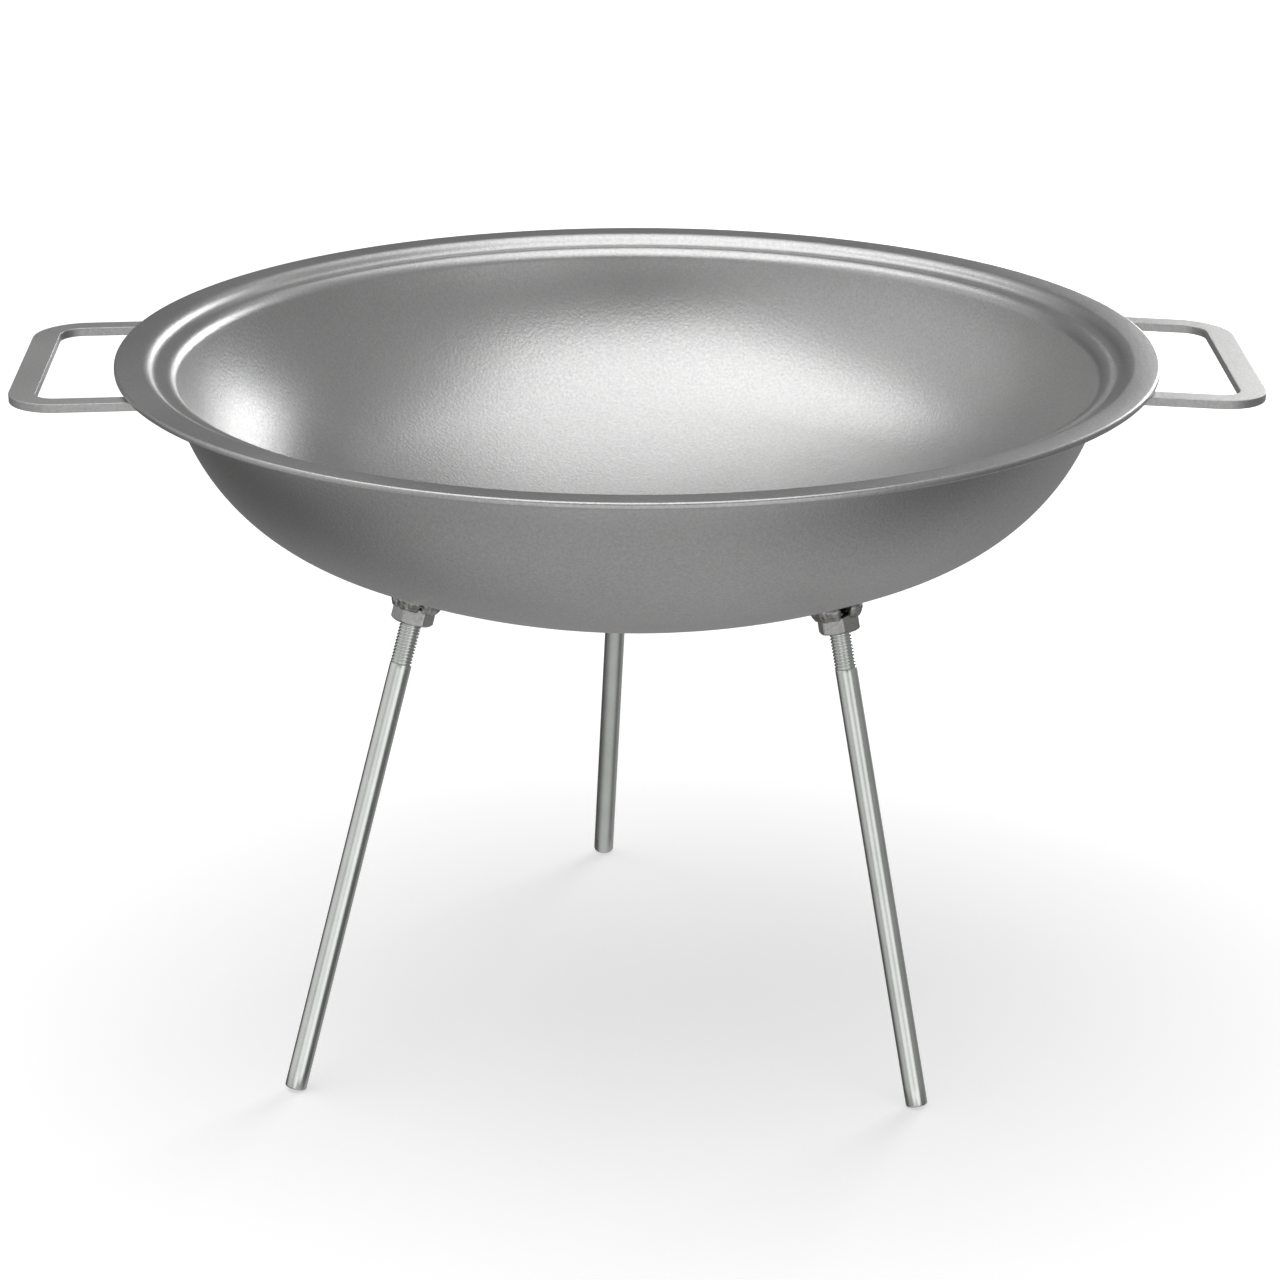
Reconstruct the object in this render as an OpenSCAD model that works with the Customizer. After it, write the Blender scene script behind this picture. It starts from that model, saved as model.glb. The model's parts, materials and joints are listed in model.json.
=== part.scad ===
// Steel fire bowl with a stepped rim, two welded plate handles and three rod
// legs that screw into hexagon nuts welded under the bowl.
// Millimetres. +Z is up, the floor is z = 0 and the bowl's axis is the Z axis.
// The handles point along +X (right) and -X (left), and the rear is +Y.

/* [Bowl] */
// Outside diameter of the rim
rim_d = 480; // [420:5:540]
// Height of the rim's top face above the floor
rim_h = 324; // [290:1:360]
// Thickness of the bowl's sheet steel
sheet_t = 3; // [2.4:0.1:3.2]
// Depth inside, from the rim's top face to the bottom
bowl_depth = 114.3; // [112:0.1:118]
// Outside radius of the shallow bottom
crown_r = 372.7; // [365:0.1:380]
// Outside radius of the wall where it turns up
knuckle_r = 96.9; // [95:0.1:99]

/* [Stepped rim] */
// Width of the flat flange, from its bend to the outer edge
flange_w = 11; // [10:0.5:11.5]
// Radius of the bend at the flange's inner side
rim_bend_r = 6.8; // [6.4:0.1:7]
// Drop from the flange to the ledge
step_drop = 4.8; // [4:0.1:5.4]
// Radius of the corner where the step meets the ledge
step_fillet_r = 5; // [4.6:0.1:5.2]
// Radius of the bend where the ledge turns down into the wall
ledge_bend_r = 6.2; // [5:0.1:6.6]
// Radius on both corners of the rim's sheared edge
edge_r = 1; // [0.5:0.1:1.2]

/* [Handles] */
// Distance from the bowl's axis to a handle's outer edge
handle_reach = 284; // [276:1:300]
// Width of a handle, across its two arms
handle_w = 143; // [120:1:160]
// Width of a handle's two arms
handle_arm_w = 10.5; // [9:0.5:13]
// Width of a handle's end bar
handle_end_w = 12.5; // [10:0.5:15]
// Plate thickness
handle_t = 4; // [3:0.1:4.4]
// Outer corner radius
handle_corner_r = 24; // [18:1:30]
// Inner corner radius
handle_inner_r = 10; // [6:1:14]
// Depth of the plate's top face under the flange's top, at the rim
handle_drop = 4.5; // [4.5:0.1:5]
// Downward slope of the left handle, in degrees
left_handle_droop = 1.2; // [0:0.1:3.3]
// Downward slope of the right handle, in degrees
right_handle_droop = 3.2; // [0:0.1:3.3]

/* [Legs] */
// Direction of the rear, left and right leg, in degrees
leg_azimuths = [92, 215, 315.5];
// Outward splay of every leg from the vertical, in degrees
leg_splay = 15.6; // [12:0.1:18]
// Sideways lean of the whole tripod towards the left, in degrees
leg_lean = 1.8; // [0:0.1:3]
// Length of a leg, end to end
leg_len = 231.5; // [230:0.5:233]
// Rod diameter
rod_d = 10; // [9.9:0.1:11]
// Outside diameter of the rod's thread
thread_d = 9.68; // [9.4:0.02:9.7]
// Length of the threaded end
thread_len = 27; // [20:1:40]
// Chamfer at both ends of the rod
rod_chamfer = 0.6; // [0.3:0.1:1]

/* [Nuts] */
// Radius on the bowl's underside where the nuts' axes meet it
nut_ring_r = 123; // [110:1:135]
// Width across flats
nut_af = 17; // [16:0.5:19]
// Height of a nut
nut_h = 8; // [7:0.5:9]
// Gap between a nut and the bowl, which the weld bridges
weld_gap = 4; // [3.4:0.1:4.4]
// Radius of a weld bead's section
nut_bead_r = 2.8; // [2.5:0.1:3]
// Middles of the beads round the rear nut, in degrees from its inner side
rear_beads = [30, 120, 210, 300];
// How far each of them runs round the nut, in degrees
rear_spans = [32, 28, 36, 32];
// Middles of the beads round the left nut
left_beads = [40, 152, 220, 298];
// How far each of them runs
left_spans = [48, 32, 40, 64];
// Middles of the beads round the right nut
right_beads = [45, 100, 215, 300];
// How far each of them runs
right_spans = [24, 76, 56, 70];

/* [Hidden] */

REAR = 0;
LEFT = 1;
RIGHT = 2;
BOWL_GREY = [0.56, 0.56, 0.55];
PLATE_GREY = [0.6, 0.6, 0.59];
NUT_GREY = [0.5, 0.5, 0.5];
WELD_GREY = [0.42, 0.41, 0.4];
ZINC = [0.78, 0.79, 0.77];
round_fn = 128;
small_fn = 48;

rim_r = rim_d / 2;
rod_r = rod_d / 2;
thread_r = thread_d / 2;
thread_clearance = 0.05;    // radial, between a nut's bore and a leg's thread
nut_bead_out = 0.5;         // from a nut's flats out to the middle of its beads
nut_face_d = 0.97 * nut_af; // of the flat that the cones leave on a nut

// Centres of the sheet's bends, as [radius, height]
crown_c = [0, rim_h - bowl_depth - sheet_t + crown_r];
knuckle_z = rim_h + 6.8;    // above the ledge, so the wall still leans out there
knuckle_c = [sqrt(pow(crown_r - knuckle_r, 2) - pow(crown_c.y - knuckle_z, 2)), knuckle_z];
crown_angle = atan2(knuckle_c.x, crown_c.y - knuckle_c.y);
ledge_z = rim_h - step_drop;
ledge_bend_reach = knuckle_r - sheet_t + ledge_bend_r;
wall_lean = asin((knuckle_z - ledge_z + ledge_bend_r) / ledge_bend_reach);
ledge_bend_c = knuckle_c + ledge_bend_reach * [cos(wall_lean), -sin(wall_lean)];
rim_bend_c = [rim_r - flange_w, rim_h - rim_bend_r];
step_reach = step_fillet_r + rim_bend_r;
step_lean = asin((step_reach - step_drop) / step_reach);
step_fillet_c = rim_bend_c + step_reach * [-cos(step_lean), sin(step_lean)];
edge_c = [rim_r - edge_r, rim_h - edge_r];

// Where the handles' arms end, under the rim bend. Further in, the bend's
// underside drops to the plates' top faces, which rise inwards.
arm_end_r = rim_bend_c.x - (rim_bend_r - sheet_t) / 4;

// Beads that hold the arms, as [radius, height] of their middle
handle_bead_r = 3;
handle_bead_c = [rim_bend_c.x - 3, rim_h - handle_drop - handle_t + 1.6];
handle_bead_span = 3.6;     // in degrees round the rim

// The bends from the middle to the flange, on the face that looks up:
// [centre, radius, side, first angle, last angle, steps]. On the underside the
// radius is radius + side * sheet_t, with side 1 in a hollow and -1 on a crest.
BENDS = [
    [crown_c, crown_r - sheet_t, 1, -90, crown_angle - 90, 12],
    [knuckle_c, knuckle_r - sheet_t, 1, crown_angle - 90, -wall_lean, 16],
    [ledge_bend_c, ledge_bend_r, -1, 180 - wall_lean, 90, 6],
    [step_fillet_c, step_fillet_r, 1, -90, -step_lean, 5],
    [rim_bend_c, rim_bend_r, -1, 180 - step_lean, 90, 6]];

function arc(c, r, first, last, steps) =
    [for (i = [0:steps]) let (a = first + (last - first) * i / steps) c + r * [cos(a), sin(a)]];
function backwards(points) = [for (i = [len(points) - 1:-1:0]) points[i]];

// Height of the bowl's underside, inside the shallow bottom
function crown_z(r) = crown_c.y - sqrt(crown_r * crown_r - r * r);

// Direction of leg k's axis, down and out from the bowl
function leg_axis(k) =
    let (v = [tan(leg_splay) * cos(leg_azimuths[k]) - tan(leg_lean),
        tan(leg_splay) * sin(leg_azimuths[k]), -1])
    v / norm(v);
function leg_tilt(k) = acos(-leg_axis(k).z);

// Middle of the lower face of leg k's nut
function nut_face(k) =
    [nut_ring_r * cos(leg_azimuths[k]), nut_ring_r * sin(leg_azimuths[k]), crown_z(nut_ring_r)]
    + (weld_gap + nut_h) * leg_axis(k);

// Distance along leg k's axis from that face to the end of its foot, which is
// cut square, so that the foot's lowest edge just meets the floor
function foot_reach(k) =
    nut_face(k).z / cos(leg_tilt(k)) - (rod_r - rod_chamfer) * tan(leg_tilt(k));

module bowl() {
    face = [for (b = BENDS) each arc(b[0], b[1], b[3], b[4], b[5])];
    edge = concat(arc(edge_c, edge_r, 90, 0, 4), arc(edge_c + [0, 2 * edge_r - sheet_t], edge_r, 0, -90, 4));
    underside = [for (b = BENDS) each arc(b[0], b[1] + b[2] * sheet_t, b[3], b[4], b[5])];
    color(BOWL_GREY) rotate_extrude($fn = round_fn)
        polygon(concat(face, edge, backwards(underside)));
}

// A plate with two rounded corners, from the bowl's axis out to reach
module rounded_tongue(reach, width, corner_r) {
    translate([0, -width / 2]) square([reach - corner_r, width]);
    translate([0, corner_r - width / 2]) square([reach, width - 2 * corner_r]);
    for (side = [-1, 1])
        translate([reach - corner_r, side * (width / 2 - corner_r)])
            circle(corner_r, $fn = small_fn);
}

// A flat U of plate, sloping down outwards. Its arms run in under the flange
// and are cut round to follow the outside of the step.
module handle(droop) {
    color(PLATE_GREY) difference() {
        translate([rim_r, 0, rim_h - handle_drop])
            rotate([0, droop, 0])
            translate([-rim_r, 0, -handle_t])
            linear_extrude(handle_t)
            difference() {
                rounded_tongue(handle_reach, handle_w, handle_corner_r);
                rounded_tongue(handle_reach - handle_end_w, handle_w - 2 * handle_arm_w,
                    handle_inner_r);
            }
        translate([0, 0, rim_h - bowl_depth])
            cylinder(h = 2 * bowl_depth, r = arm_end_r, $fn = round_fn);
    }
}

// A bead in the corner below one arm's inner end. side is 1 for the arm at +Y
// and -1 for the arm at -Y.
module handle_weld(side) {
    arm_angle = asin((handle_w - handle_arm_w) / 2 / handle_bead_c.x);
    color(WELD_GREY) rotate([0, 0, side * arm_angle - handle_bead_span / 2])
        rotate_extrude(angle = handle_bead_span, $fn = round_fn)
        translate(handle_bead_c) circle(handle_bead_r, $fn = small_fn);
}

module right_handle() {
    handle(right_handle_droop);
}

module left_handle() {
    rotate([0, 0, 180]) handle(left_handle_droop);
}

module right_handle_rear_weld() {
    handle_weld(1);
}

module right_handle_front_weld() {
    handle_weld(-1);
}

module left_handle_rear_weld() {
    rotate([0, 0, 180]) handle_weld(-1);
}

module left_handle_front_weld() {
    rotate([0, 0, 180]) handle_weld(1);
}

// Puts its children on leg k: z = 0 is the nut's lower face, local +Z runs up
// the leg and local Y is level.
module on_leg(k) {
    up = -leg_axis(k);
    translate(nut_face(k)) rotate([0, leg_tilt(k), atan2(up.y, up.x)]) children();
}

// Hexagon nut, its corners cut back to a 30 degree cone at both faces
module leg_nut(k) {
    corner_r = nut_af / 2 / cos(30);
    face_r = nut_face_d / 2;
    rise = (corner_r - face_r) * tan(30);
    color(NUT_GREY) on_leg(k) difference() {
        intersection() {
            rotate([0, 0, 30]) cylinder(h = nut_h, r = corner_r, $fn = 6);
            rotate_extrude($fn = small_fn)
                polygon([[0, 0], [face_r, 0], [corner_r + 0.01, rise],
                    [corner_r + 0.01, nut_h - rise], [face_r, nut_h], [0, nut_h]]);
        }
        translate([0, 0, -1])
            cylinder(h = nut_h + 2, r = thread_r + thread_clearance, $fn = small_fn);
    }
}

// Short beads round the nut's upper face, bridging the gap up to the bowl
module nut_weld(k, beads, spans) {
    color(WELD_GREY) on_leg(k)
        for (i = [0:len(beads) - 1])
            rotate([0, 0, beads[i] - spans[i] / 2])
            rotate_extrude(angle = spans[i], $fn = round_fn)
            translate([nut_af / 2 + nut_bead_out, nut_h + weld_gap / 2])
            circle(nut_bead_r, $fn = small_fn);
}

// A rod with its thread at the upper end, which passes through the nut
module leg(k) {
    shank_len = leg_len - thread_len;
    c = rod_chamfer;
    color(ZINC) on_leg(k)
        translate([0, 0, -foot_reach(k)])
        rotate_extrude($fn = small_fn)
        polygon([[0, 0], [rod_r - c, 0], [rod_r, c], [rod_r, shank_len], [thread_r, shank_len],
            [thread_r, leg_len - c], [thread_r - c, leg_len], [0, leg_len]]);
}

module rear_leg_nut() {
    leg_nut(REAR);
}

module left_leg_nut() {
    leg_nut(LEFT);
}

module right_leg_nut() {
    leg_nut(RIGHT);
}

module rear_nut_weld() {
    nut_weld(REAR, rear_beads, rear_spans);
}

module left_nut_weld() {
    nut_weld(LEFT, left_beads, left_spans);
}

module right_nut_weld() {
    nut_weld(RIGHT, right_beads, right_spans);
}

module rear_leg() {
    leg(REAR);
}

module left_leg() {
    leg(LEFT);
}

module right_leg() {
    leg(RIGHT);
}

bowl();
left_handle();
right_handle();
left_handle_rear_weld();
left_handle_front_weld();
right_handle_rear_weld();
right_handle_front_weld();
rear_leg_nut();
left_leg_nut();
right_leg_nut();
rear_nut_weld();
left_nut_weld();
right_nut_weld();
rear_leg();
left_leg();
right_leg();
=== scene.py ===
"""The looks of a steel fire bowl on three screw-in rod legs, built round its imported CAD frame.

Everything is in metres in the CAD's own frame: +Z up, floor at z = 0, the bowl's axis on the
Z axis, handles along X and the rear along +Y.
"""
import json
import math

import bpy
from mathutils import Matrix, Vector, noise


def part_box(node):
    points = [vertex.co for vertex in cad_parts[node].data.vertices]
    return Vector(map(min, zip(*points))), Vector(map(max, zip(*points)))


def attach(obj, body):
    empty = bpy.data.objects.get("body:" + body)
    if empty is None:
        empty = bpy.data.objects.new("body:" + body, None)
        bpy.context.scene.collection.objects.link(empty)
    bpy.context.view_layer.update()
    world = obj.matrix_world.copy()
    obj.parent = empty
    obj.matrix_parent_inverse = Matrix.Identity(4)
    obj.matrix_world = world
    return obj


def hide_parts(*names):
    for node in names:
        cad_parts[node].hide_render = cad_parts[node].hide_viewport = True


MM = 0.001
PAN = "pan"
SIDES = ("left", "right")
LEGS = ("rear", "left", "right")
POLE_R = 1e-9

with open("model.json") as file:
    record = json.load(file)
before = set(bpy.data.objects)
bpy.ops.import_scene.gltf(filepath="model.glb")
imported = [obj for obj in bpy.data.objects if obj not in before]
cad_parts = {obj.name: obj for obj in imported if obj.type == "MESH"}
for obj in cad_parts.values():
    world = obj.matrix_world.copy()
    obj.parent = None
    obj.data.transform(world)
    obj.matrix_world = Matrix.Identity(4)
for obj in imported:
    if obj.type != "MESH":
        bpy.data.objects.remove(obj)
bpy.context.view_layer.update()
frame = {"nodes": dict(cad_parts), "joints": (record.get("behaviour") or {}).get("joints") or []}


# ---------------------------------------------------------------- mesh helpers

def lattice(rings, closed=False):
    """Vertices and faces of a surface through closed rings. A ring of one point is a pole."""
    starts = [0]
    for ring in rings:
        starts.append(starts[-1] + len(ring))
    pairs = [(i, i + 1) for i in range(len(rings) - 1)]
    if closed:
        pairs.append((len(rings) - 1, 0))
    faces = []
    for i, j in pairs:
        a, b, n = starts[i], starts[j], max(len(rings[i]), len(rings[j]))
        for k in range(n):
            m = (k + 1) % n
            if len(rings[i]) == 1:
                faces.append((a, b + m, b + k))
            elif len(rings[j]) == 1:
                faces.append((a + k, a + m, b))
            else:
                faces.append((a + k, a + m, b + m, b + k))
    return [tuple(p) for ring in rings for p in ring], faces


def new_object(name, verts, faces):
    mesh = bpy.data.meshes.new(name)
    mesh.from_pydata(verts, [], faces)
    obj = bpy.data.objects.new(name, mesh)
    bpy.context.scene.collection.objects.link(obj)
    return obj


def skin(name, rings, closed=False):
    """A smooth-shaded object through the rings."""
    obj = new_object(name, *lattice(rings, closed))
    obj.data.shade_smooth()
    return obj


def arc(centre, radius, first, last, steps):
    """Points on an arc in a plane, angles in degrees."""
    angles = (math.radians(first + (last - first) * i / steps) for i in range(steps + 1))
    return [(centre[0] + radius * math.cos(a), centre[1] + radius * math.sin(a)) for a in angles]


def round_angles(segments):
    """Evenly spaced angles round a full circle, in radians."""
    return [2 * math.pi * k / segments for k in range(segments)]


def level_ring(radii, angles, heights):
    """Points round the Z axis, one for each angle."""
    return [Vector((r * math.cos(a), r * math.sin(a), z))
            for r, a, z in zip(radii, angles, heights)]


def turned(outline, segments, cut=None):
    """Rings round the Z axis from (radius, height) points. cut(angle, height) adds to radii."""
    angles = round_angles(segments)
    rings = []
    for r, z in outline:
        if r < POLE_R:
            rings.append([Vector((0, 0, z))])
        else:
            radii = [r + (cut(a, z) if cut else 0) for a in angles]
            rings.append(level_ring(radii, angles, [z] * segments))
    return rings


def moved(rings, matrix):
    return [[matrix @ p for p in ring] for ring in rings]


def capped(rings):
    """The rings with their middle points added at both ends."""
    first, last = ([sum(ring, Vector()) / len(ring)] for ring in (rings[0], rings[-1]))
    return [first, *rings, last]


def flatten_shading(obj):
    """Keeps flat faces flat where a small rounded edge joins them."""
    obj.modifiers.new("weighted", "WEIGHTED_NORMAL").weight = 80


def dress(obj, body, material, slot, *nodes):
    """Gives a finished piece its material and body, and hides the CAD nodes it stands for. slot is
    not used.
    """
    obj.data.materials.append(material)
    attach(obj, body)
    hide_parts(*nodes)
    return obj


# ------------------------------------------------------------------- materials

def add_node(tree, kind, **inputs):
    """A shader node with these inputs set. An underscore stands for a space in a name."""
    made = tree.nodes.new("ShaderNode" + kind)
    for key, value in inputs.items():
        made.inputs[key.replace("_", " ")].default_value = value
    return made


class Shader:
    """A principled metal and the few texture nodes that its surface needs."""

    def __init__(self, name, roughness, metallic=1.0):
        self.material = bpy.data.materials.new(name)
        self.material.use_nodes = True
        self.tree = self.material.node_tree
        self.surface = self.tree.nodes["Principled BSDF"]
        self.surface.inputs["Metallic"].default_value = metallic
        self.surface.inputs["Roughness"].default_value = roughness
        self.place = self.node("TexCoord").outputs["Object"]
        self.normal = None

    def node(self, kind, **inputs):
        return add_node(self.tree, kind, **inputs)

    def link(self, source, target):
        self.tree.links.new(source, target)

    def stretched(self, scale):
        """The object's coordinates, scaled along each axis."""
        mapping = self.node("Mapping", Scale=scale)
        self.link(self.place, mapping.inputs["Vector"])
        return mapping.outputs["Vector"]

    def noise(self, per_metre, detail=2.0, place=None):
        made = self.node("TexNoise", Scale=per_metre, Detail=detail)
        self.link(place or self.place, made.inputs["Vector"])
        return made.outputs["Fac"]

    def ramp(self, value, to_low, to_high, low=0.3, high=0.7):
        """value from low..high mapped to to_low..to_high. Noise fills about 0.3 to 0.7."""
        made = self.node("MapRange", From_Min=low, From_Max=high, To_Min=to_low, To_Max=to_high)
        self.link(value, made.inputs["Value"])
        return made.outputs["Result"]

    def sum(self, a, b):
        made = self.node("Math")
        self.link(a, made.inputs[0])
        self.link(b, made.inputs[1])
        return made.outputs["Value"]

    def bump(self, height, depth):
        """Adds height (0..1) of this depth in metres to the surface."""
        made = self.node("Bump", Strength=1.0, Distance=depth)
        self.link(height, made.inputs["Height"])
        if self.normal:
            self.link(self.normal, made.inputs["Normal"])
        self.normal = made.outputs["Normal"]
        self.link(self.normal, self.surface.inputs["Normal"])

    def colour(self, value, dark, light):
        """Base colour from dark to light as value goes from 0 to 1."""
        made = self.node("MixRGB")
        made.inputs["Color1"].default_value = (*dark, 1)
        made.inputs["Color2"].default_value = (*light, 1)
        self.link(value, made.inputs["Fac"])
        self.link(made.outputs["Color"], self.surface.inputs["Base Color"])

    def roughen(self, value):
        self.link(value, self.surface.inputs["Roughness"])


def satin_steel(name, dark, light, roughness, grain=1.0):
    """Bare pressed steel with a fine dull grain and faint clouds."""
    s = Shader(name, roughness)
    cloud = s.noise(9, 3)
    speck = s.noise(800, 3)
    s.colour(s.sum(s.ramp(cloud, 0.2, 0.6), s.ramp(speck, -0.2, 0.4)), dark, light)
    s.roughen(s.sum(s.ramp(cloud, roughness - 0.02, roughness + 0.02), s.ramp(speck, 0.03, -0.03)))
    s.bump(s.noise(650, 4), 0.12 * MM * grain)
    s.bump(s.noise(60, 2), 0.05 * MM)
    return s.material


def weld_steel(name):
    """Weld metal: dull, and browned in patches."""
    s = Shader(name, 0.42)
    patch = s.noise(260, 3)
    s.colour(s.ramp(patch, 0, 1, 0.35, 0.65), (0.30, 0.29, 0.27), (0.56, 0.56, 0.55))
    s.roughen(s.ramp(patch, 0.5, 0.34))
    s.bump(s.noise(900, 3), 0.12 * MM)
    return s.material


def zinc(name):
    """Bright zinc plate on drawn rod: faint clouds, and fine lines along the leg."""
    s = Shader(name, 0.16)
    lines = s.noise(1, 2, s.stretched((2600, 2600, 18)))
    cloud = s.noise(70, 3)
    s.colour(s.sum(s.ramp(cloud, 0.1, 0.6), s.ramp(lines, 0.0, 0.4)),
             (0.70, 0.73, 0.70), (0.87, 0.89, 0.86))
    s.roughen(s.sum(s.ramp(cloud, 0.13, 0.19), s.ramp(lines, -0.03, 0.05)))
    s.bump(lines, 0.012 * MM)
    return s.material


BOWL_STEEL = satin_steel("bowl_satin_steel", (0.50, 0.50, 0.50), (0.66, 0.66, 0.655), 0.38)
HANDLE_STEEL = satin_steel("handle_satin_steel", (0.50, 0.50, 0.50), (0.66, 0.66, 0.65), 0.50)
NUT_STEEL = satin_steel("nut_steel", (0.42, 0.42, 0.41), (0.58, 0.58, 0.565), 0.28, grain=0.7)
WELD_STEEL = weld_steel("weld_bead")
ZINC_PLATE = zinc("zinc_plate")


# ------------------------------------------------------------------------ bowl

SHEET = 3 * MM
(_, _, BOTTOM), (RIM_R, _, RIM_TOP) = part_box("bowl")
STEP_DROP, FLANGE_W, RIM_BEND_R = 4.8 * MM, 11 * MM, 6.8 * MM


def bowl_outline():
    """Half section of the bowl as (radius, height), up the inside and down the outside."""
    crown_r, knuckle_r, knuckle_rise = 372.7 * MM, 96.9 * MM, 6.8 * MM
    fillet_r, rim_bend_r, ledge_bend_r = 5 * MM, RIM_BEND_R, 6.2 * MM
    crown = (0, BOTTOM + crown_r)
    knuckle_z = RIM_TOP + knuckle_rise
    knuckle = (math.sqrt((crown_r - knuckle_r) ** 2 - (crown[1] - knuckle_z) ** 2), knuckle_z)
    crown_angle = math.degrees(math.atan2(knuckle[0], crown[1] - knuckle_z))
    reach = knuckle_r - SHEET + ledge_bend_r
    lean = math.asin((knuckle_z - RIM_TOP + STEP_DROP + ledge_bend_r) / reach)
    ledge_bend = (knuckle[0] + reach * math.cos(lean), knuckle_z - reach * math.sin(lean))
    lean = math.degrees(lean)
    rim_bend = (RIM_R - FLANGE_W, RIM_TOP - rim_bend_r)
    step = math.asin(1 - STEP_DROP / (fillet_r + rim_bend_r))
    fillet = (rim_bend[0] - (fillet_r + rim_bend_r) * math.cos(step),
              rim_bend[1] + (fillet_r + rim_bend_r) * math.sin(step))
    step = math.degrees(step)
    # Centre, inside radius, what the outside adds to it, first and last angle, and steps
    bends = [
        (crown, crown_r - SHEET, SHEET, -90, crown_angle - 90, 26),
        (knuckle, knuckle_r - SHEET, SHEET, crown_angle - 90, -lean, 40),
        (ledge_bend, ledge_bend_r, -SHEET, 180 - lean, 90, 16),
        (fillet, fillet_r, SHEET, -90, -step, 10),
        (rim_bend, rim_bend_r, -SHEET, 180 - step, 90, 12)]
    inside = [p for c, r, _, a, b, n in bends for p in arc(c, r, a, b, n)]
    outside = [p for c, r, t, a, b, n in bends for p in arc(c, r + t, a, b, n)]
    # The sheared edge, its lower corner a little sharper than the upper
    upper, lower = 1.1 * MM, 0.8 * MM
    rim = (arc((RIM_R - upper, RIM_TOP - upper), upper, 90, 0, 8)
           + arc((RIM_R - lower, RIM_TOP - SHEET + lower), lower, 0, -90, 6))
    inside[0] = (0, inside[0][1])
    outside[0] = (0, outside[0][1])
    return inside + rim + outside[::-1]


def without_repeats(outline):
    """Drops each point that lies on the one before."""
    kept = outline[:1]
    for p in outline[1:]:
        if math.dist(p, kept[-1]) > 0.02 * MM:
            kept.append(p)
    return kept


def make_bowl():
    bowl = skin("fire_bowl", turned(without_repeats(bowl_outline()), segments=320))
    return dress(bowl, PAN, BOWL_STEEL, "bowl_steel", "bowl")


# --------------------------------------------------------------------- handles

HANDLE_REACH, HANDLE_HALF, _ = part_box("right_handle")[1]
HANDLE_TOP = RIM_TOP - 4.5 * MM
HANDLE_DROOP = {"left": math.radians(1.2), "right": math.radians(3.2)}
ARM_W, END_W, PLATE = 10.5 * MM, 12.5 * MM, 4 * MM
OUTER_CORNER, INNER_CORNER = 24 * MM, 10 * MM
ARM_END_R = RIM_R - FLANGE_W - (RIM_BEND_R - SHEET) / 4


def handle_edge(reach, half, corner, arm_end_r):
    """One edge of the flat U, from the front arm's end round to the rear arm's."""
    arm_steps, corner_steps, bar_steps = 6, 16, 8
    start = math.sqrt(arm_end_r ** 2 - half ** 2)
    bend = (reach - corner, half - corner)
    front = [(start + (bend[0] - start) * i / arm_steps, -half) for i in range(arm_steps)]
    front += arc((bend[0], -bend[1]), corner, -90, 0, corner_steps)
    bar = [(reach, bend[1] * (2 * i / bar_steps - 1)) for i in range(1, bar_steps)]
    return front + bar + [(x, -y) for x, y in reversed(front)]


def bar_section(width):
    """Rounded rectangle: across the bar and through the plate, with edges just broken."""
    r = 0.45 * MM
    points = []
    for cx, cy, a in ((1, 0, 0), (-1, 0, 90), (-1, -1, 180), (1, -1, 270)):
        centre = (cx * (width / 2 - r), cy * PLATE + (r if cy else -r))
        points += arc(centre, r, a, a + 90, 4)
    return points


def make_handle(side):
    """A flat U of plate, level along Y and drooping outwards from the rim."""
    turn = Matrix.Rotation(0 if side == "right" else math.pi, 4, "Z")
    tilt = (Matrix.Translation((RIM_R, 0, HANDLE_TOP))
            @ Matrix.Rotation(HANDLE_DROOP[side], 4, "Y")
            @ Matrix.Translation((-RIM_R, 0, 0)))
    reach = RIM_R + (HANDLE_REACH - RIM_R) / math.cos(HANDLE_DROOP["right"])
    outer = handle_edge(reach, HANDLE_HALF, OUTER_CORNER, ARM_END_R)
    inner = handle_edge(reach - END_W, HANDLE_HALF - ARM_W, INNER_CORNER, ARM_END_R)
    rings = []
    for i, (a, b) in enumerate(zip(outer, inner)):
        a, b = Vector(a), Vector(b)
        middle, across = (a + b) / 2, (a - b).normalized()
        ring = []
        for offset, depth in bar_section((a - b).length):
            p = middle + across * offset
            if i in (0, len(outer) - 1):  # the arms' ends follow the rim's round
                p.x = math.sqrt(ARM_END_R ** 2 - p.y ** 2)
            ring.append(turn @ tilt @ Vector((p.x, p.y, depth)))
        rings.append(ring)
    handle = skin(side + "_loop_handle", capped(rings))
    flatten_shading(handle)
    return dress(handle, PAN, HANDLE_STEEL, "handle_steel", side + "_handle")


def make_handle_weld(node):
    """A short rippled bead of weld between the end of one arm and the bend it stands under."""
    low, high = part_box(node)
    middle = (low + high) / 2
    ring_r, bead_r, half_angle = middle.xy.length, 2.8 * MM, math.radians(1.75)
    first = math.atan2(middle.y, middle.x) - half_angle
    steps, lumps = 56, 0.3 * MM
    rings = []
    for i in range(steps + 1):
        t = i / steps
        angle = first + 2 * half_angle * t
        ripple = 1 + 0.07 * math.sin(9 * math.pi * t)
        swell = math.sqrt(max(1 - abs(2 * t - 1) ** 5, 0.02)) * ripple
        out = Vector((math.cos(angle), math.sin(angle), 0))
        ring = []
        for a in round_angles(24):
            at = out * math.cos(a) + Vector((0, 0, math.sin(a)))
            p = out * ring_r + Vector((0, 0, middle.z)) + at * bead_r * swell
            ring.append(p + at * lumps * noise.noise(p * 500))
        rings.append(ring)
    bead = skin(node.replace("weld", "bead"), capped(rings))
    return dress(bead, PAN, WELD_STEEL, "weld_bead", node)


# --------------------------------------------------------------- nuts and legs

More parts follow.
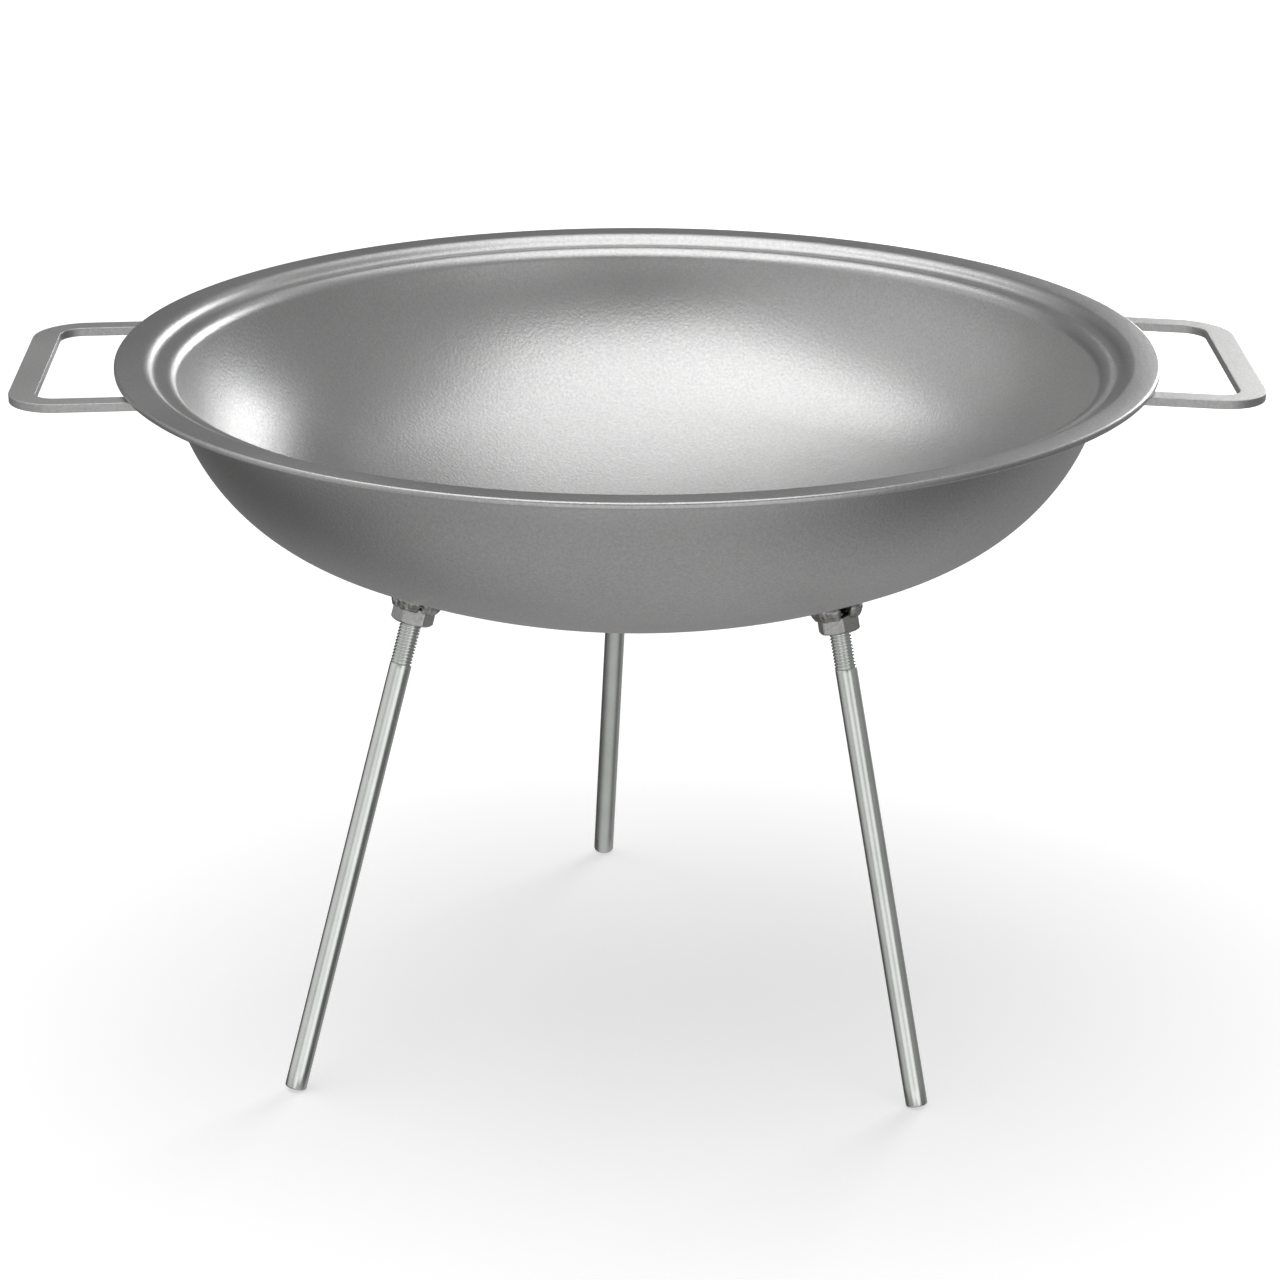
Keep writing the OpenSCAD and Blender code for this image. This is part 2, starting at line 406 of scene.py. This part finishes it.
ROD_R, THREAD_R, THREAD_LEN, PITCH = 5 * MM, 4.95 * MM, 27 * MM, 1.5 * MM
NUT_AF, NUT_H = 17 * MM, 8 * MM
# Beads round each nut as (middle, half length) in degrees from the inner side
BEADS = {"rear": ((30, 16), (120, 14), (210, 18), (300, 16)),
         "left": ((40, 24), (152, 16), (220, 20), (298, 32)),
         "right": ((45, 12), (100, 38), (215, 28), (300, 35))}
# A bead's cross-section as balls of (distance from the nut's axis, height over its upper
# face, radius) in mm
BEAD_BALLS = ((8.9, -0.2, 1.9), (9.4, 1.2, 2.2), (10.2, 2.8, 2.2))
# Direction of each leg's body, down and out
AXES = {j["child"]: Vector(j["axis"]).normalized() for j in frame["joints"]}


def leg_frame(leg, origin):
    """Matrix from a leg's own frame, +Z up along it and Y level, to the part's frame."""
    up = -AXES[leg + "_leg"]
    level = Vector((-up.y, up.x, 0)).normalized()
    rotation = Matrix((level.cross(up), level, up)).transposed().to_4x4()
    return Matrix.Translation(origin) @ rotation


def nut_face(leg):
    """Middle of the nut's lower face."""
    low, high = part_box(leg + "_leg_nut")
    return (low + high) / 2 + AXES[leg + "_leg"] * NUT_H / 2


def leg_foot(leg):
    """Middle of the leg's end face, and the leg's length."""
    axis = AXES[leg + "_leg"]
    low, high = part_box(leg + "_leg")
    spans = [v.co.dot(axis) for v in frame["nodes"][leg + "_leg"].data.vertices]
    length = max(spans) - min(spans)
    middle = (low + high) / 2
    return middle + axis * (max(spans) - middle.dot(axis)), length


def hexagon(angle, corner_r):
    """Radius of a hexagon with rounded corners; a corner lies at 30 degrees."""
    off = math.degrees(angle) % 60 - 30
    apothem = NUT_AF / 2
    centre = (apothem - corner_r) / math.cos(math.radians(30))
    flat_half = math.degrees(math.atan((apothem - corner_r) * math.tan(math.radians(30)) / apothem))
    if abs(off) < 30 - flat_half:
        a = math.radians(off)
        return centre * math.cos(a) + math.sqrt(corner_r ** 2 - (centre * math.sin(a)) ** 2)
    return apothem / math.cos(math.radians(30 - abs(off)))


def make_nut(leg):
    """Hexagon nut with both faces coned off at 30 degrees and a threaded, countersunk bore."""
    segments = 144
    angles = round_angles(segments)
    face_r, soft, slope = 0.95 * NUT_AF / 2, 0.35 * MM, math.tan(math.radians(30))
    outer = [hexagon(a, 0.5 * MM) for a in angles]
    cone = [max(r - face_r, 0) * slope for r in outer]
    # From the flat face over a softened corner to the flats: radii, and depths from the face
    corner = [([face_r] * segments, [0] * segments)]
    for t, drop in ((0.3, 0.04), (0.7, 0.3), (1.0, 1.0)):
        corner.append(([r - soft * (1 - t) for r in outer],
                       [c + soft * drop - soft * slope * (1 - t) for c in cone]))
    rings = [level_ring(radii, angles, depths) for radii, depths in corner]
    rings += [level_ring(radii, angles, [NUT_H - d for d in depths])
              for radii, depths in reversed(corner)]

    bore_r, sink, groove, steps = THREAD_R + 0.05 * MM, 0.5 * MM, 0.4 * MM, 60

    def countersink(z):
        return level_ring([bore_r + sink] * segments, angles, [z] * segments)

    rings.append(countersink(NUT_H))
    for i in range(steps + 1):
        z = NUT_H - sink - (NUT_H - 2 * sink) * i / steps
        phases = [(z / PITCH - a / (2 * math.pi)) % 1 for a in angles]
        radii = [bore_r + groove * (1 - abs(2 * phase - 1)) for phase in phases]
        rings.append(level_ring(radii, angles, [z] * segments))
    rings.append(countersink(0))
    nut = skin(leg + "_hex_nut", moved(rings, leg_frame(leg, nut_face(leg))), closed=True)
    flatten_shading(nut)
    return dress(nut, PAN, NUT_STEEL, "nut_steel", leg + "_leg_nut")


def ball(centre, radius):
    """Rings of a sphere."""
    bands, segments = 12, 20
    turns = [math.pi * i / bands for i in range(bands + 1)]
    rings = turned([(radius * math.sin(t), -radius * math.cos(t)) for t in turns], segments)
    return moved(rings, Matrix.Translation(centre))


def fused(name, balls, voxel):
    """One closed lump from overlapping balls of (centre, radius), with a slightly uneven skin."""
    verts, faces = [], []
    for centre, radius in balls:
        points, quads = lattice(ball(centre, radius))
        faces += [tuple(len(verts) + i for i in face) for face in quads]
        verts += points
    lump = new_object(name, verts, faces)
    remesh = lump.modifiers.new("fuse", "REMESH")
    remesh.mode = "VOXEL"
    remesh.voxel_size = voxel
    smooth = lump.modifiers.new("smooth", "SMOOTH")
    smooth.factor, smooth.iterations = 0.6, 3
    depsgraph = bpy.context.evaluated_depsgraph_get()
    done = bpy.data.meshes.new_from_object(lump.evaluated_get(depsgraph))
    lump.modifiers.clear()
    lump.data = done
    lumps = 0.35 * MM
    for v in done.vertices:
        v.co += v.normal * lumps * noise.noise(v.co * 420)
    done.shade_smooth()
    return lump


def make_nut_weld(leg):
    """Short beads from the nut's upper edge to the bowl, each lumpy and spreading on the bowl."""
    matrix = leg_frame(leg, nut_face(leg))
    balls = []
    for i, (middle, half) in enumerate(BEADS[leg]):
        count = max(3, round(half / 5))  # sections 10 degrees apart, or a little less
        for k in range(count):
            along = 2 * k / (count - 1) - 1
            for out, height, radius in BEAD_BALLS:
                seed = Vector((3.7 * i + 0.9 * k, 2.1 * out, height + len(leg)))
                jitter = 0.6 * noise.noise(seed)
                a = math.radians(middle + along * half + 4 * jitter)
                radius *= (1 - 0.12 * along ** 2) * (1 + 0.35 * jitter)
                z = height + NUT_H / MM + jitter
                at = Vector((math.cos(a) * out, math.sin(a) * out, z)) * MM
                balls.append((matrix @ at, radius * MM))
    weld = fused(leg + "_nut_tacks", balls, 0.32 * MM)
    return dress(weld, PAN, WELD_STEEL, "weld_bead", leg + "_nut_weld")


def make_leg(leg):
    """A zinc-plated rod with a cut thread at its upper end."""
    foot, length = leg_foot(leg)
    start = length - THREAD_LEN
    chamfer, groove, shoulder = 0.6 * MM, 0.6 * MM, 0.6 * MM
    shank_steps, steps_per_turn = 24, 12

    def thread(angle, z):
        """Change of radius by the helix, which fades in above the shoulder."""
        if z < start:
            return 0
        phase = (z / PITCH - angle / (2 * math.pi)) % 1
        # The V is stretched and clipped, so that crests and roots have narrow flats
        depth = min(1, max(0, (1 - abs(2 * phase - 1)) * 1.7 - 0.62))
        return -groove * depth * min(1, (z - start) / (1.4 * PITCH))

    foot_top = 1.3 * chamfer
    outline = [(0, 0), (ROD_R - chamfer, 0), (ROD_R - 0.18 * MM, 0.6 * chamfer), (ROD_R, foot_top)]
    for i in range(1, shank_steps + 1):
        outline.append((ROD_R, foot_top + (start - 2 * MM) * i / shank_steps))
    thread_steps = round(THREAD_LEN / PITCH * steps_per_turn)
    for i in range(thread_steps):
        z = start + (THREAD_LEN - chamfer) * i / (thread_steps - 1)
        outline.append((ROD_R + (THREAD_R - ROD_R) * min(1, (z - start) / shoulder), z))
    outline += [(THREAD_R - chamfer, length), (0, length)]
    rod = skin(leg + "_rod_leg", moved(turned(outline, 72, thread), leg_frame(leg, foot)))
    return dress(rod, leg + "_leg", ZINC_PLATE, "zinc_plate", leg + "_leg")


# ----------------------------------------------------------------------- stage

def toward(azimuth, elevation):
    """Unit vector; azimuth 0 is +X and 90 the rear."""
    a, e = math.radians(azimuth), math.radians(elevation)
    return Vector((math.cos(a) * math.cos(e), math.sin(a) * math.cos(e), math.sin(e)))


def make_camera():
    """A long lens, in front and a little above the rim."""
    place = Vector((-0.0383, -1.8759, RIM_TOP + 0.5077))
    roll = math.radians(0.07)
    forward = toward(88.785, -19.10)
    level = forward.cross(Vector((0, 0, 1))).normalized()
    upright = level.cross(forward)
    right = level * math.cos(roll) + upright * math.sin(roll)
    up = upright * math.cos(roll) - level * math.sin(roll)
    data = bpy.data.cameras.new("camera")
    data.lens, data.sensor_width = 118.14, 36
    data.clip_start, data.clip_end = 0.05, 60
    camera = bpy.data.objects.new("camera", data)
    camera.matrix_world = (Matrix.Translation(place)
                           @ Matrix((right, up, -forward)).transposed().to_4x4())
    bpy.context.scene.collection.objects.link(camera)
    bpy.context.scene.camera = camera


def make_floor():
    """White paper, lit a little from within so that it stays pale to the horizon."""
    half = 14
    corners = [(-half, -half, 0), (half, -half, 0), (half, half, 0), (-half, half, 0)]
    floor = new_object("floor", corners, [(0, 1, 2, 3)])
    paper = Shader("studio_paper", 0.9, metallic=0)
    paper.colour(paper.ramp(paper.noise(3, 3), 0, 1), (0.80, 0.80, 0.80), (0.82, 0.82, 0.82))
    distance = paper.node("VectorMath")
    distance.operation = "LENGTH"
    paper.link(paper.place, distance.inputs[0])
    # Painted light: the paper glows, less near the bowl and more further off. This is a painted
    # brightening towards the horizon and painted shade round the bowl.
    paper.surface.inputs["Emission Color"].default_value = (1, 1, 1, 1)
    paper.link(paper.ramp(distance.outputs["Value"], 0.42, 0.72, low=0.3, high=3.5),
               paper.surface.inputs["Emission Strength"])
    floor.data.materials.append(paper.material)
    floor.visible_glossy = False


def softbox(name, position, target, size, radiance):
    """A rectangular soft light, size (across, along) in metres."""
    data = bpy.data.lights.new(name, "AREA")
    data.shape = "RECTANGLE"
    data.size, data.size_y = size
    data.energy = radiance * math.pi * size[0] * size[1]
    light = bpy.data.objects.new(name, data)
    light.location = position
    light.rotation_euler = (Vector(target) - Vector(position)).to_track_quat("-Z", "Y").to_euler()
    bpy.context.scene.collection.objects.link(light)


def make_room(base, glows):
    """A dim room round the set, with soft glows of (direction, half width in degrees, radiance)."""
    world = bpy.data.worlds.new("studio")
    world.use_nodes = True
    tree = world.node_tree
    direction = add_node(tree, "TexCoord").outputs["Generated"]
    total = None
    for axis, width, radiance in glows:
        dot = add_node(tree, "VectorMath")
        dot.operation = "DOT_PRODUCT"
        tree.links.new(direction, dot.inputs[0])
        dot.inputs[1].default_value = axis
        glow = add_node(tree, "MapRange", From_Min=math.cos(math.radians(width)), From_Max=1,
                        To_Min=0, To_Max=radiance)
        glow.interpolation_type = "SMOOTHSTEP"
        tree.links.new(dot.outputs["Value"], glow.inputs["Value"])
        add = add_node(tree, "Math")
        if total:
            tree.links.new(total, add.inputs[0])
        else:
            add.inputs[0].default_value = base
        tree.links.new(glow.outputs["Result"], add.inputs[1])
        total = add.outputs["Value"]
    background = tree.nodes["Background"]
    background.inputs["Color"].default_value = (1, 1, 1, 1)
    tree.links.new(total, background.inputs["Strength"])
    bpy.context.scene.world = world


def make_lights():
    """Two softboxes and the room's glows. Steel doesn't mirror the floor, so it shows the glows
    below the horizon too."""
    make_room(0.08, [
        (toward(60, 6), 26, 0.5),
        (toward(95, 24), 24, 0.05),
        (toward(-168, 22), 66, 0.60),
        (toward(-15, 42), 80, 0.26),
        (toward(-106, -9), 29, 0.72),
        (toward(-63, -8), 29, 0.84),
        (toward(-98, -52), 66, 0.30),
        (toward(65, -40), 60, 0.24),
        (toward(0, -90), 60, 0.14)])
    softbox("overhead", (-0.22, -0.02, 2.3), (-0.02, 0.02, 0.3), (3.4, 2.3), 1.38)
    bowl = Vector((0, 0, RIM_TOP))
    softbox("rear_right", bowl + 2.2 * toward(57.5, 8), bowl, (1.0, 1.2), 5.1)


make_bowl()
for side in SIDES:
    make_handle(side)
    for end in ("rear", "front"):
        make_handle_weld(side + "_handle_" + end + "_weld")
for leg in LEGS:
    make_nut(leg)
    make_nut_weld(leg)
    make_leg(leg)
make_floor()
make_lights()
make_camera()
bpy.context.scene.view_settings.view_transform = "Standard"
